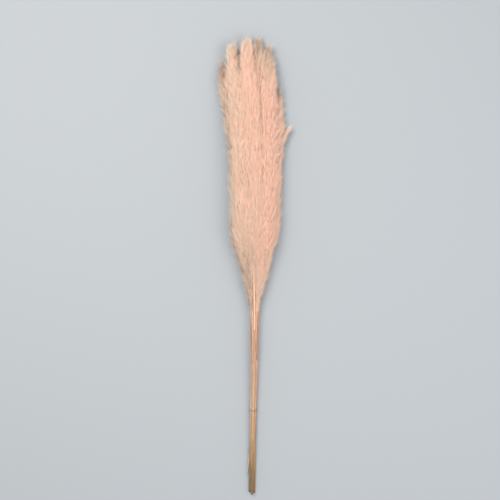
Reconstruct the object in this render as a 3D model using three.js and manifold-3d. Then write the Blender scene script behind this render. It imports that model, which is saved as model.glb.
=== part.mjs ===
// A bunch of six stalks of dried, dyed pampas grass, tied with one thin wire and laid on a flat surface.
// Millimetres: X runs across the bunch, Y from the cut ends to the plume tips, Z up from the surface.
// Every stalk is a culm (the bare stem) that carries on into a plume. The plumes press on each other,
// so each one fills its own oval as far as the flat boundaries that it shares with its neighbours.
import * as THREE from 'three';
import { mergeVertices } from 'three/addons/utils/BufferGeometryUtils.js';
import Module from 'manifold-3d';

// Lengthwise places in the bunch
const CUT_END_Y = -550;
const TIE_Y = -346;
const NECK_Y = -104;

// Culms
const CUT_END_RADIUS = 2.5;
const NECK_RADIUS = 1.95;
const STEM_SIDES = 10;
const STEM_STEP = 36;

// Plumes
const PLUME_SIDES = 18;
const PLUME_STEP = 30;
const OVAL_POWER = 2.4;
const PLUME_GAP = 1.0;
const JOINT_GAP = 0.3;
const TIP_CROWDING = 1.25;

// Binding wire
const WIRE_RADIUS = 0.5;
const WIRE_SIDES = 8;
const WIRE_STEPS = 64;
const WIRE_TURNS = 1.5;
const WIRE_PITCH = 2.4;
const WIRE_DIP = 1.8;
const WIRE_END = 5;

// Leaf sheaths
const SHEATH_WALL = 0.5;
const SHEATH_GAP = 0.35;
const SHEATH_ARC_STEPS = 8;
const SHEATH_STEP = 24;

// How the six culms are stacked where they are tied, in units of their spacing: three, two and one.
const ROW_RISE = Math.sqrt(3) / 2;
const STACK = {
  left: [-1, 0],
  middle: [0, 0],
  right: [1, 0],
  upperLeft: [-0.5, ROW_RISE],
  upperRight: [0.5, ROW_RISE],
  top: [0, 2 * ROW_RISE],
};

// Stations of the tied stack: y, spacing of the culms, x of its centre, z of its lowest row.
const STACK_STATIONS = [
  [CUT_END_Y, 5.6, -4, CUT_END_RADIUS],
  [-460, 5.4, -2.8, 6],
  [TIE_Y, 4.95, -1, 10.2],
  [-220, 6.3, 1.5, 15],
  [NECK_Y, 8.2, 2, 19.5],
];

// Stations of each plume: y, x, z, half width, half height. The last station is its tip.
const STALKS = [
  {
    number: 1,
    slot: 'left',
    cut: -546,
    plume: [
      [NECK_Y, -6.2, 19.5, 3.4, 3.2],
      [-50, -9, 18.5, 8, 9],
      [-22, -12, 18, 10, 12],
      [7, -18, 17, 14, 15],
      [36, -25, 16.5, 18, 17],
      [65, -32, 16, 21, 18.5],
      [180, -36, 16, 19, 19],
      [300, -43, 16, 18, 19],
      [353, -52, 16, 18, 18],
      [410, -63, 15, 16, 16],
      [450, -71, 13, 12, 13],
      [476, -76, 12, 8, 9],
      [486, -78, 12, 4, 4],
    ],
  },
  {
    number: 2,
    slot: 'upperLeft',
    cut: -541,
    plume: [
      [NECK_Y, -2.1, 26.6, 3.4, 3.2],
      [-50, -5, 30, 7, 8],
      [7, -11, 37, 12, 13],
      [65, -23, 43, 19, 18],
      [180, -25, 44, 20, 20],
      [300, -30, 43, 19, 20],
      [400, -40, 38, 16, 17],
      [460, -48, 31, 12, 14],
      [520, -52, 25, 10.5, 11],
      [530, -52, 24, 9, 9],
      [535, -52, 24, 5, 5],
    ],
  },
  {
    number: 3,
    slot: 'top',
    cut: -549,
    plume: [
      [5, 0, 46, 3.4, 3.2],
      [40, 0, 48, 12, 11],
      [80, 1, 48, 18, 17],
      [180, 2, 47, 21, 20],
      [300, -2, 46, 21, 21],
      [400, -9, 43, 19, 19],
      [480, -15, 36, 14, 15],
      [525, -16, 31, 12, 12],
      [540, -16, 29, 9, 9],
      [546, -16, 28, 5, 5],
    ],
  },
  {
    number: 4,
    slot: 'middle',
    cut: -552,
    plume: [
      [NECK_Y, 2, 19.5, 3.4, 3.2],
      [-50, 1, 18.5, 7, 9],
      [7, 2, 17, 13, 14],
      [65, 2, 16, 20, 18.5],
      [180, 3, 16, 20, 19],
      [300, 3, 16, 20, 19],
      [400, 6, 16, 18, 18],
      [480, 11, 15, 14, 15],
      [525, 13, 14, 10, 11],
      [540, 13, 13, 6, 7],
      [546, 13, 13, 3, 3],
    ],
  },
  {
    number: 5,
    slot: 'upperRight',
    cut: -544,
    plume: [
      [NECK_Y, 6.1, 26.6, 3.4, 3.2],
      [-50, 8, 30, 7, 8],
      [7, 15, 36, 13, 13],
      [65, 25, 42, 18, 18],
      [180, 30, 43, 19, 20],
      [300, 31, 42, 20, 19],
      [400, 33, 37, 18, 17],
      [470, 36, 30, 14, 13],
      [508, 37, 26, 10, 10],
      [520, 37, 25, 6, 6],
      [525, 37, 24, 3, 3],
    ],
  },
  {
    number: 6,
    slot: 'right',
    cut: -548,
    plume: [
      [NECK_Y, 10.2, 19.5, 3.4, 3.2],
      [-50, 12, 18.5, 9, 9],
      [-22, 17, 18, 12, 12],
      [7, 21, 17, 16, 15],
      [36, 27, 16.5, 18, 17],
      [65, 35, 16, 21, 18.5],
      [122, 41, 16, 20, 19],
      [238, 46, 16, 20, 19],
      [295, 49, 16, 18, 18],
      [353, 58, 15, 15, 15],
      [392, 63, 14, 9, 10],
      [410, 64, 13, 5, 6],
      [417, 64, 13, 3, 3],
    ],
    // One branch stands away from the plume: where it leaves, where it ends, and its radii there.
    branch: { from: [56, 270, 17], to: [85, 336, 20], radii: [6, 1.6] },
  },
];

// Leaf sheaths: the culm they clasp, their lengthwise span, the outward side they face (degrees),
// how far they wrap, and how far their two ends stand away from the culm.
const SHEATHS = [
  { name: 'sheath_left', stalk: 1, from: -268, to: -112, facing: 180, wrap: 190, lift: [0, 0.8] },
  { name: 'sheath_right', stalk: 6, from: -226, to: -112, facing: 0, wrap: 190, lift: [0, 0.8] },
  { name: 'sheath_front', stalk: 3, from: -316, to: -152, facing: 92, wrap: 172, lift: [0, 0.7] },
  { name: 'sheath_peel', stalk: 1, from: -508, to: -440, facing: 180, wrap: 70, lift: [4.5, 0] },
];

const COLOURS = {
  plume: [0xf3c5ac, 0.95, 0],
  stem: [0xc9a078, 0.75, 0],
  sheath: [0xe0bba4, 0.85, 0],
  wire: [0x6e8496, 0.4, 0.8],
};

const degrees = (value) => (value * Math.PI) / 180;

// A smooth function of y through stations whose first number is y.
function through(stations) {
  const slope = (i, k) => {
    const before = stations[Math.max(i - 1, 0)];
    const after = stations[Math.min(i + 1, stations.length - 1)];
    return (after[k] - before[k]) / (after[0] - before[0]);
  };
  return (y, k) => {
    let i = 0;
    while (i < stations.length - 2 && y > stations[i + 1][0]) i += 1;
    const span = stations[i + 1][0] - stations[i][0];
    const t = THREE.MathUtils.clamp((y - stations[i][0]) / span, 0, 1);
    const hold = 2 * t ** 3 - 3 * t ** 2 + 1;
    const leave = t ** 3 - 2 * t ** 2 + t;
    const arrive = t ** 3 - t ** 2;
    const start = hold * stations[i][k] + leave * span * slope(i, k);
    return start + (1 - hold) * stations[i + 1][k] + arrive * span * slope(i + 1, k);
  };
}

const culmRadius = (y) => {
  const along = (y - CUT_END_Y) / (NECK_Y - CUT_END_Y);
  return THREE.MathUtils.lerp(CUT_END_RADIUS, NECK_RADIUS, Math.min(along, 1));
};

// One row per station of the whole stalk, culm and plume: y, x, z, half width, half height.
function stationsOf(stalk) {
  const [across, up] = STACK[stalk.slot];
  const end = Math.min(stalk.plume[0][0], NECK_Y + 1);
  const culm = STACK_STATIONS.filter(([y]) => y < end).map(
    ([y, spacing, x, z]) => [y, x + across * spacing, z + up * spacing, culmRadius(y), culmRadius(y)],
  );
  return [...culm, ...stalk.plume];
}

// Adds to each stalk the functions of y that the shapes below are made from.
for (const stalk of STALKS) {
  const along = through(stationsOf(stalk));
  stalk.base = stalk.plume[0][0];
  stalk.tip = stalk.plume[stalk.plume.length - 1][0];
  stalk.x = (y) => along(y, 1);
  stalk.z = (y) => along(y, 2);
  stalk.halfWidth = (y) => (y < stalk.base ? culmRadius(y) : along(y, 3));
  stalk.halfHeight = (y) => (y < stalk.base ? culmRadius(y) : along(y, 4));
}

// How far the plume reaches from its middle, at y, in the direction of an angle in the XZ plane.
function plumeReach(stalk, y, angle) {
  const across = Math.cos(angle);
  const up = Math.sin(angle);
  const wide = Math.abs(across / stalk.halfWidth(y)) ** OVAL_POWER;
  const high = Math.abs(up / stalk.halfHeight(y)) ** OVAL_POWER;
  let reach = (wide + high) ** (-1 / OVAL_POWER);
  if (up < 0) reach = Math.min(reach, stalk.z(y) / -up);
  for (const other of STALKS) {
    if (other === stalk || y < other.cut || y > other.tip) continue;
    const dx = other.x(y) - stalk.x(y);
    const dz = other.z(y) - stalk.z(y);
    const apart = Math.hypot(dx, dz);
    const ownSize = stalk.halfWidth(y) * stalk.halfHeight(y);
    const otherSize = other.halfWidth(y) * other.halfHeight(y);
    const boundary = (apart ** 2 + ownSize - otherSize) / (2 * apart) - PLUME_GAP / 2;
    const towards = (across * dx + up * dz) / apart;
    if (towards > 0) reach = Math.min(reach, boundary / towards);
  }
  return reach;
}

// An extruded outline, in whole steps, whose every point (u, v, t) is then moved to its own place.
function shaped(outline, steps, place) {
  const settings = { depth: 1, steps, bevelEnabled: false };
  const geometry = new THREE.ExtrudeGeometry(new THREE.Shape(outline), settings);
  const position = geometry.getAttribute('position');
  for (let i = 0; i < position.count; i += 1) {
    const moved = place(position.getX(i), position.getY(i), position.getZ(i));
    position.setXYZ(i, moved.x, moved.y, moved.z);
  }
  geometry.computeVertexNormals();
  return geometry;
}

function circle(sides) {
  const corner = (i) => {
    const angle = (2 * Math.PI * i) / sides;
    return new THREE.Vector2(Math.cos(angle), Math.sin(angle));
  };
  return Array.from({ length: sides }, (_, i) => corner(i));
}

// The culm: round, from its cut end to just below its plume.
function culmGeometry(stalk) {
  const top = stalk.base - JOINT_GAP;
  const steps = Math.ceil((top - stalk.cut) / STEM_STEP);
  return shaped(circle(STEM_SIDES), steps, (u, v, t) => {
    const y = THREE.MathUtils.lerp(top, stalk.cut, t);
    return new THREE.Vector3(stalk.x(y) + u * culmRadius(y), y, stalk.z(y) + v * culmRadius(y));
  });
}

// The plume: its steps crowd towards the rounded tip.
function plumeGeometry(stalk) {
  const length = stalk.tip - stalk.base;
  return shaped(circle(PLUME_SIDES), Math.ceil(length / PLUME_STEP), (u, v, t) => {
    const y = stalk.tip - length * t ** TIP_CROWDING;
    const angle = Math.atan2(v, u);
    const reach = plumeReach(stalk, y, angle);
    const z = stalk.z(y) + Math.sin(angle) * reach;
    return new THREE.Vector3(stalk.x(y) + Math.cos(angle) * reach, y, Math.max(z, 0));
  });
}

// A branch that stands away: a tapered round spike along a straight line.
function branchGeometry({ from, to, radii }) {
  const start = new THREE.Vector3(...from);
  const along = new THREE.Vector3(...to).sub(start);
  const [wide, narrow] = radii;
  const spike = new THREE.CylinderGeometry(narrow, wide, along.length(), STEM_SIDES, 1);
  const turn = new THREE.Quaternion().setFromUnitVectors(
    new THREE.Vector3(0, 1, 0),
    along.clone().normalize(),
  );
  spike.applyQuaternion(turn);
  spike.translate(...start.clone().addScaledVector(along, 0.5).toArray());
  return spike;
}

const wasm = await Module();
wasm.setup();

function solidOf(geometry) {
  const bare = geometry.clone();
  bare.deleteAttribute('normal');
  bare.deleteAttribute('uv');
  const merged = mergeVertices(bare, 1e-4);
  const vertProperties = merged.getAttribute('position').array;
  const triVerts = new Uint32Array(merged.getIndex().array);
  return new wasm.Manifold(new wasm.Mesh({ numProp: 3, vertProperties, triVerts }));
}

function joined(first, second) {
  const mesh = solidOf(first).add(solidOf(second)).getMesh();
  const geometry = new THREE.BufferGeometry();
  geometry.setAttribute('position', new THREE.BufferAttribute(mesh.vertProperties, 3));
  geometry.setIndex(new THREE.BufferAttribute(mesh.triVerts, 1));
  geometry.computeVertexNormals();
  return geometry;
}

// A leaf sheath: a thin wall bent round part of its culm. Its outline is angle against layer.
function sheathGeometry({ stalk, from, to, facing, wrap, lift }) {
  const culm = STALKS.find(({ number }) => number === stalk);
  const angleAt = (i) => degrees(facing - wrap / 2 + (wrap * i) / SHEATH_ARC_STEPS);
  const inner = Array.from({ length: SHEATH_ARC_STEPS + 1 }, (_, i) => new THREE.Vector2(angleAt(i), 0));
  const outer = inner.map(({ x }) => new THREE.Vector2(x, 1)).reverse();
  const out = new THREE.Vector2(Math.cos(degrees(facing)), Math.sin(degrees(facing)));
  const steps = Math.ceil((to - from) / SHEATH_STEP);
  return shaped([...inner, ...outer], steps, (angle, layer, t) => {
    const y = THREE.MathUtils.lerp(from, to, t);
    const radius = culmRadius(y) + SHEATH_GAP + layer * SHEATH_WALL;
    const away = lift[0] * (1 - t) ** 2 + lift[1] * t ** 2;
    const x = culm.x(y) + Math.cos(angle) * radius + out.x * away;
    return new THREE.Vector3(x, y, culm.z(y) + Math.sin(angle) * radius + out.y * away);
  });
}

// The wire's route: a tight loop round the three corner culms, out to the left where it starts and
// out to the right where it ends, with a dip towards the cut ends where it crosses the front.
function wireRoute() {
  const [, spacing, middleX, lowZ] = STACK_STATIONS.find(([y]) => y === TIE_Y);
  const radius = culmRadius(TIE_Y) + SHEATH_GAP + WIRE_RADIUS;
  const cornerAt = (angle) => {
    const turned = THREE.MathUtils.euclideanModulo(angle + 90, 360);
    if (turned < 120) return STACK.right;
    return turned < 240 ? STACK.top : STACK.left;
  };
  const points = [];
  const stepAngle = 12;
  const firstAngle = 180;
  for (let turned = 0; turned <= WIRE_TURNS * 360; turned += stepAngle) {
    const angle = firstAngle + turned;
    const [across, up] = cornerAt(angle);
    const front = Math.max(Math.sin(degrees(angle)), 0) ** 2;
    const x = middleX + across * spacing + radius * Math.cos(degrees(angle));
    const z = lowZ + up * spacing + radius * Math.sin(degrees(angle));
    const y = TIE_Y + WIRE_PITCH * (turned / 360 - WIRE_TURNS / 2) - WIRE_DIP * front;
    points.push(new THREE.Vector3(x, y, z));
  }
  const start = points[0].clone().add(new THREE.Vector3(-0.75 * WIRE_END, -0.5 * WIRE_END, 0.7 * WIRE_END));
  const last = points[points.length - 1];
  const end = last.clone().add(new THREE.Vector3(0.5 * WIRE_END, 0.2 * WIRE_END, 0.7 * WIRE_END));
  return new THREE.CatmullRomCurve3([start, ...points, end], false, 'centripetal');
}

function wireGeometry() {
  const section = circle(WIRE_SIDES).map((corner) => corner.multiplyScalar(WIRE_RADIUS));
  const settings = { extrudePath: wireRoute(), steps: WIRE_STEPS, bevelEnabled: false };
  return new THREE.ExtrudeGeometry(new THREE.Shape(section), settings);
}

function piece(name, geometry, colour) {
  const [color, roughness, metalness] = COLOURS[colour];
  const mesh = new THREE.Mesh(geometry, new THREE.MeshStandardMaterial({ color, roughness, metalness }));
  mesh.name = name;
  return mesh;
}

const bunch = new THREE.Group();
for (const stalk of STALKS) {
  bunch.add(piece(`stem_${stalk.number}`, culmGeometry(stalk), 'stem'));
  const plume = plumeGeometry(stalk);
  const whole = stalk.branch ? joined(plume, branchGeometry(stalk.branch)) : plume;
  bunch.add(piece(`plume_${stalk.number}`, whole, 'plume'));
}
for (const sheath of SHEATHS) {
  bunch.add(piece(sheath.name, sheathGeometry(sheath), 'sheath'));
}
bunch.add(piece('tie_wire', wireGeometry(), 'wire'));

// The origin is under the middle of the bunch's box, on the surface.
const box = new THREE.Box3().setFromObject(bunch);
const middle = box.getCenter(new THREE.Vector3());
bunch.position.set(-middle.x, -middle.y, -box.min.z);

export default bunch;
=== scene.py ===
# %% Load the frame
import math
import bmesh
import bpy
import numpy as np
from mathutils import Matrix, Vector
from mathutils.bvhtree import BVHTree


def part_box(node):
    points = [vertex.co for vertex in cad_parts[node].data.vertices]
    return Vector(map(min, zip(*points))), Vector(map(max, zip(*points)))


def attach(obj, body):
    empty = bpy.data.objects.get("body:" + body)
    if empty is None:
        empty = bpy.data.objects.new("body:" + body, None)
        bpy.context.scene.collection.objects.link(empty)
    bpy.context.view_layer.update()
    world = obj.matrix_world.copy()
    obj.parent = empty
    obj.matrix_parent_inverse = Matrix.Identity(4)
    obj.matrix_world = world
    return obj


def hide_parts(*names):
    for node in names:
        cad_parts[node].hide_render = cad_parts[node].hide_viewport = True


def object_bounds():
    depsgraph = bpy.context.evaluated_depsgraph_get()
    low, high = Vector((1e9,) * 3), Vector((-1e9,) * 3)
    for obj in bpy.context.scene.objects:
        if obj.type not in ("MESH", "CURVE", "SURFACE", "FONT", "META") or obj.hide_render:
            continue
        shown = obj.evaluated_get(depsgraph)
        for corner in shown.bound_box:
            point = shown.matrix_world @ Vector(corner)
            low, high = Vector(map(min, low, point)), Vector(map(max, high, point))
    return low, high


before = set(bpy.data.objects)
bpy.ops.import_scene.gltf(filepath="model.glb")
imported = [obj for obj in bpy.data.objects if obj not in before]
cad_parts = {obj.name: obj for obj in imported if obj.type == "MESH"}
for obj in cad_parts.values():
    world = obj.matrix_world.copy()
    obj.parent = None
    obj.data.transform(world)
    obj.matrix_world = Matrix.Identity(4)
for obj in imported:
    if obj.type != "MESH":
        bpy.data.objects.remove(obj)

cad_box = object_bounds()
print("the bunch's box:", [[round(value, 3) for value in corner] for corner in cad_box])

# %% [markdown]
# # A bunch of dried pampas grass
# The bunch is six stalks of a tall grass, dyed peach, dried and tied with one wire. Each stalk is a culm,
# the bare stem, that carries on into a plume: a loose panicle of long branches whose small spikelets
# grow silky hairs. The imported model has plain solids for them, which tell where each plume lies and how
# far it reaches. This script measures them and grows the real structure inside: branches, then hairs.

# %% Units and the measured shape of a plume
MM = 0.001
PLUMES = [f"plume_{number}" for number in range(1, 7)]
STATIONS = 72
DIRECTIONS = 24


def mesh_arrays(node):
    """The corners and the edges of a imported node, as arrays."""
    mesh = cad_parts[node].data
    corners = np.zeros(len(mesh.vertices) * 3)
    mesh.vertices.foreach_get("co", corners)
    edges = np.zeros(len(mesh.edges) * 2, int)
    mesh.edges.foreach_get("vertices", edges)
    return corners.reshape(-1, 3), edges.reshape(-1, 2)


# %% [markdown]
# ## Measure where a stalk runs
# A row of cuts across a plume's solid gives the middle line that its rachis, the stem inside the plume,
# follows. A cut is the set of points where the solid's edges cross a plane. One branch stands off the last
# plume, so each cut keeps only the points near the middle of the one before.

# %% The middle line of a long node
END_INSET = 0.5 * MM
NEAR_MIDDLE = 25 * MM
NO_WALL = 2 * MM


def cut_across(corners, edges, y):
    """The points where a node's edges cross the plane at y."""
    first, second = corners[edges[:, 0]], corners[edges[:, 1]]
    crossing = (first[:, 1] - y) * (second[:, 1] - y) < 0
    first, second = first[crossing], second[crossing]
    share = (y - first[:, 1]) / (second[:, 1] - first[:, 1])
    return first + (second - first) * share[:, None]


def middle_line(node):
    """Points along the middle of a node, from its low end in y to its high end, and its half widths."""
    corners, edges = mesh_arrays(node)
    low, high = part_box(node)
    middles, halves = [], []
    for y in np.linspace(low.y + END_INSET, high.y - END_INSET, STATIONS):
        cut = cut_across(corners, edges, y)
        if middles:
            cut = cut[np.abs(cut[:, 0] - middles[-1][0]) < NEAR_MIDDLE]
        middles.append((cut.min(0) + cut.max(0)) / 2)
        halves.append((cut.max(0) - cut.min(0))[0] / 2)
    return np.array(middles), np.array(halves)


def outwards(angles):
    """Unit vectors at angles round the y axis."""
    return np.stack([np.cos(angles), np.zeros_like(angles), np.sin(angles)], -1)


def all_round(count):
    """Evenly spaced angles, all the way round."""
    return np.arange(count) * 2 * math.pi / count


def reach_table(node, middles):
    """How far a node's wall is from its middle line, in every direction at every station."""
    shell = bmesh.new()
    shell.from_mesh(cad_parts[node].data)
    tree = BVHTree.FromBMesh(shell)
    shell.free()
    table = np.zeros((len(middles), DIRECTIONS))
    for row, middle in enumerate(middles):
        for column, direction in enumerate(outwards(all_round(DIRECTIONS))):
            distance = tree.ray_cast(Vector(middle), Vector(direction))[3]
            table[row, column] = distance or NO_WALL
    return table


# Over what length each plume closes to its tip, and how sharply: 0.5 gives a round end, 1 a pointed one.
TIP_SHAPES = {"plume_1": (60 * MM, 0.6), "plume_2": (16 * MM, 0.5), "plume_3": (28 * MM, 0.5),
              "plume_4": (30 * MM, 0.5), "plume_5": (70 * MM, 0.7), "plume_6": (120 * MM, 1.0)}
NECK_LENGTH = 60 * MM
NECK_SHARE = 0.25
NECK_CURVE = 0.8
FARTHEST_IN = 0.97
LAST_WALL = 16 * MM


class PlumeSpace:
    """The space that one plume fills: its middle line and how far it reaches around it."""

    def __init__(self, node):
        self.node = node
        self.middles, _ = middle_line(node)
        self.reaches = reach_table(node, self.middles)
        self.base, self.tip = self.middles[0, 1], self.middles[-1, 1]
        self.tip_length, self.sharpness = TIP_SHAPES[node]

    def middle(self, y):
        """Points of the middle line at the lengths y."""
        ys = self.middles[:, 1]
        return np.stack([np.interp(y, ys, self.middles[:, axis]) for axis in range(3)], -1)

    def reach(self, y, angle):
        """The distance to the wall at the lengths y, in the directions angle."""
        row = np.clip((y - self.base) / (self.tip - self.base), 0, 1) * (len(self.middles) - 1)
        column = (angle / (2 * math.pi) % 1) * DIRECTIONS
        row_low, column_low = np.floor(row).astype(int), np.floor(column).astype(int)
        row_high = np.minimum(row_low + 1, len(self.middles) - 1)
        column_low, column_high = column_low % DIRECTIONS, (column_low + 1) % DIRECTIONS
        down, across = row - np.floor(row), column - np.floor(column)
        table = self.reaches
        here = table[row_low, column_low] * (1 - across) + table[row_low, column_high] * across
        ahead = table[row_high, column_low] * (1 - across) + table[row_high, column_high] * across
        return here * (1 - down) + ahead * down

    def rounded_reach(self, y, angle):
        """The same, but closing in a round end at the tip, and thin where the plume starts."""
        into_end = np.clip((y - (self.tip - self.tip_length)) / self.tip_length, 0, FARTHEST_IN)
        closing = (1 - into_end ** 2) ** self.sharpness
        starting = NECK_SHARE + (1 - NECK_SHARE) * np.clip((y - self.base) / NECK_LENGTH, 0, 1) ** NECK_CURVE
        return self.reach(np.minimum(y, self.tip - LAST_WALL), angle) * closing * starting


spaces = {node: PlumeSpace(node) for node in PLUMES}
for node, space in spaces.items():
    print(node, "runs from y", round(space.base, 3), "to", round(space.tip, 3),
          "and reaches up to", round(space.reaches.max() * 1000), "mm")

# %% [markdown]
# ## Let the plumes grow into each other
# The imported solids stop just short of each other. Real plumes are soft: their hairs fill the grooves
# between them, and the bunch looks like one body. So imagine a bag pulled tight round all plumes, known
# from how far they reach in many directions. Each plume may grow a little past its own wall, as far as
# that bag. Two may not near their tips, which stand apart, and two others keep a shallow groove.

# %% Widen every plume towards the bag round the bunch
BAG_SIDES = outwards(all_round(48))
BRIDGE = 11 * MM
GROOVE_BRIDGE = {"plume_3": 4 * MM, "plume_5": 4 * MM}
GROOVE_FROM, GROOVE_TO, GROOVE_FADE = 0.16, 0.38, 0.05
STANDS_FREE = {"plume_2": 0.5 * MM, "plume_3": 0.5 * MM}
MINGLED, FREE = 0.44, 0.475
FACING = 0.1
BAG_CUTS = 120


def bag_reach(y):
    """How far the bunch reaches in the directions of BAG_SIDES, at the length y."""
    angles = all_round(DIRECTIONS)
    walls = [space.middle(y) + space.reach(np.full(DIRECTIONS, y), angles)[:, None] * outwards(angles)
             for space in spaces.values() if space.base <= y <= space.tip]
    return (np.concatenate(walls) @ BAG_SIDES.T).max(0)


def widened(space):
    """The plume's reaches, grown towards the bag."""
    towards = outwards(all_round(DIRECTIONS)) @ BAG_SIDES.T
    grown = np.zeros_like(space.reaches)
    for row, middle in enumerate(space.middles):
        room = (bag_reach(middle[1]) - BAG_SIDES @ middle) / np.maximum(towards, FACING)
        to_bag = np.where(towards > FACING, room, np.inf).min(1)
        shallow = GROOVE_BRIDGE.get(space.node, BRIDGE)
        bridge = np.interp(
            middle[1],
            [GROOVE_FROM - GROOVE_FADE, GROOVE_FROM, GROOVE_TO, GROOVE_TO + GROOVE_FADE, MINGLED, FREE],
            [BRIDGE, shallow, shallow, BRIDGE, BRIDGE, STANDS_FREE.get(space.node, BRIDGE)])
        grown[row] = np.maximum(np.minimum(to_bag, space.reaches[row] + bridge), space.reaches[row])
    return grown


BAG_STATIONS = np.linspace(min(space.base for space in spaces.values()) + MM,
                           max(space.tip for space in spaces.values()) - MM, BAG_CUTS)
bag = np.array([bag_reach(y) for y in BAG_STATIONS])


def depth_in_bag(points):
    """How deep points are below the surface of the bag."""
    row = np.clip(np.searchsorted(BAG_STATIONS, points[:, 1]), 0, len(BAG_STATIONS) - 1)
    return (bag[row] - points @ BAG_SIDES.T).min(1)


for space, reaches in [(space, widened(space)) for space in spaces.values()]:
    print(space.node, "grew by up to", round((reaches - space.reaches).max() / MM, 1), "mm")
    space.reaches = reaches

# %% [markdown]
# ## Tubes
# Culms, branches and the dense middle of a plume are all long and round. To make such a shape, take a flat
# grid, roll it up by placing each of its corners, merge the seam and fill the two open ends. One helper
# does that for all. It only needs a rule that says where each corner goes.

# %% Roll a grid into a closed tube
SEAM = 1e-7


def roll_tube(mesh, around, along, place):
    """Adds to mesh a tube whose corners are place(share round, share along), with open ends."""
    made = bmesh.ops.create_grid(mesh, x_segments=around, y_segments=along, size=0.5)["verts"]
    for corner in made:
        corner.co = place(corner.co.x + 0.5, corner.co.y + 0.5)
    bmesh.ops.remove_doubles(mesh, verts=made, dist=SEAM)


def close_ends(mesh):
    """Fills every open end and turns all faces outwards."""
    rims = [edge for edge in mesh.edges if edge.is_boundary]
    caps = bmesh.ops.holes_fill(mesh, edges=rims, sides=0)["faces"]
    bmesh.ops.recalc_face_normals(mesh, faces=mesh.faces)
    return caps


def stand_for(piece, node):
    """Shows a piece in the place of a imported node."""
    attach(piece, "root")
    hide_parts(node)
    return piece


def add_object(name, data):
    thing = bpy.data.objects.new(name, data)
    bpy.context.scene.collection.objects.link(thing)
    return thing


def finish_piece(name, mesh, materials, node):
    """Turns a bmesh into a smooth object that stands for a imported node."""
    data = bpy.data.meshes.new(name)
    mesh.to_mesh(data)
    mesh.free()
    for material in materials:
        data.materials.append(material)
    data.polygons.foreach_set("use_smooth", [True] * len(data.polygons))
    return stand_for(add_object(name, data), node)


def frames_along(route):
    """For each point of a route, two unit vectors across it that never twist suddenly."""
    steps = np.gradient(route, axis=0)
    forward = [Vector(step).normalized() for step in steps]
    side = forward[0].orthogonal().normalized()
    sides = [side]
    for before, after in zip(forward, forward[1:]):
        side = before.rotation_difference(after) @ side
        sides.append((side - after * side.dot(after)).normalized())
    return sides, [way.cross(side) for way, side in zip(forward, sides)]


def tube_along(mesh, route, radii, around=3):
    """Adds a tube along a route, with a radius at every point."""
    sides, ups = frames_along(route)
    last = len(route) - 1

    def place(share_round, share_along):
        index = round(share_along * last)
        angle = 2 * math.pi * share_round
        across = sides[index] * math.cos(angle) + ups[index] * math.sin(angle)
        return Vector(route[index]) + across * radii[index]

    roll_tube(mesh, around, last, place)


# %% [markdown]
# ## Colours
# The dye is peach, but every branch took it a little differently: some are beige, some nearly pink. The
# roots of the hairs are painted darker than their silky tips, as painted shade deep in the plume. Plant
# colours are easiest to judge as a screen shows them, so a helper turns those values into the linear ones
# that a shader works with.

# %% Colours of the dye and of dry straw
def linear(red, green, blue):
    """A colour given as a screen shows it, from 0 to 255, as linear values with an alpha of 1."""
    def one(value):
        share = value / 255
        return share / 12.92 if share <= 0.04045 else ((share + 0.055) / 1.055) ** 2.4
    return (one(red), one(green), one(blue), 1.0)


BEIGE = linear(228, 210, 191)
PEACH = linear(251, 229, 210)
ROSE = linear(252, 218, 198)
# SHADED is painted shade: the dye as it looks in shadow. Twigs, sheaths and the peeling skin use it as one of
# their darker tones.
SHADED = linear(186, 148, 123)
# Painted shade: the inner down's colours are the dye darkened as it looks under the hair above it.
CORE_DARK = linear(172, 130, 108)
CORE_SHADED_BEIGE = linear(200, 160, 138)
CORE_SHADED_PEACH = linear(214, 172, 148)
CULM_PEACH = linear(190, 149, 125)
CULM_ROSE = linear(211, 168, 144)
STRAW = linear(178, 143, 111)
OCHRE = linear(152, 120, 84)
UMBER = linear(114, 90, 62)
PITH = linear(222, 198, 160)
SHEATH_TAN = linear(214, 172, 142)

# %% [markdown]
# ## A helper for finishes
# All finishes here are built from the same few steps, so they get a small class. Plant fibres run
# lengthwise, so most patterns are a noise that a Mapping node draws out along y, in the piece's own
# coordinates. Thin hair and thin leaves also let light through, which a translucent shader adds.

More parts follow.
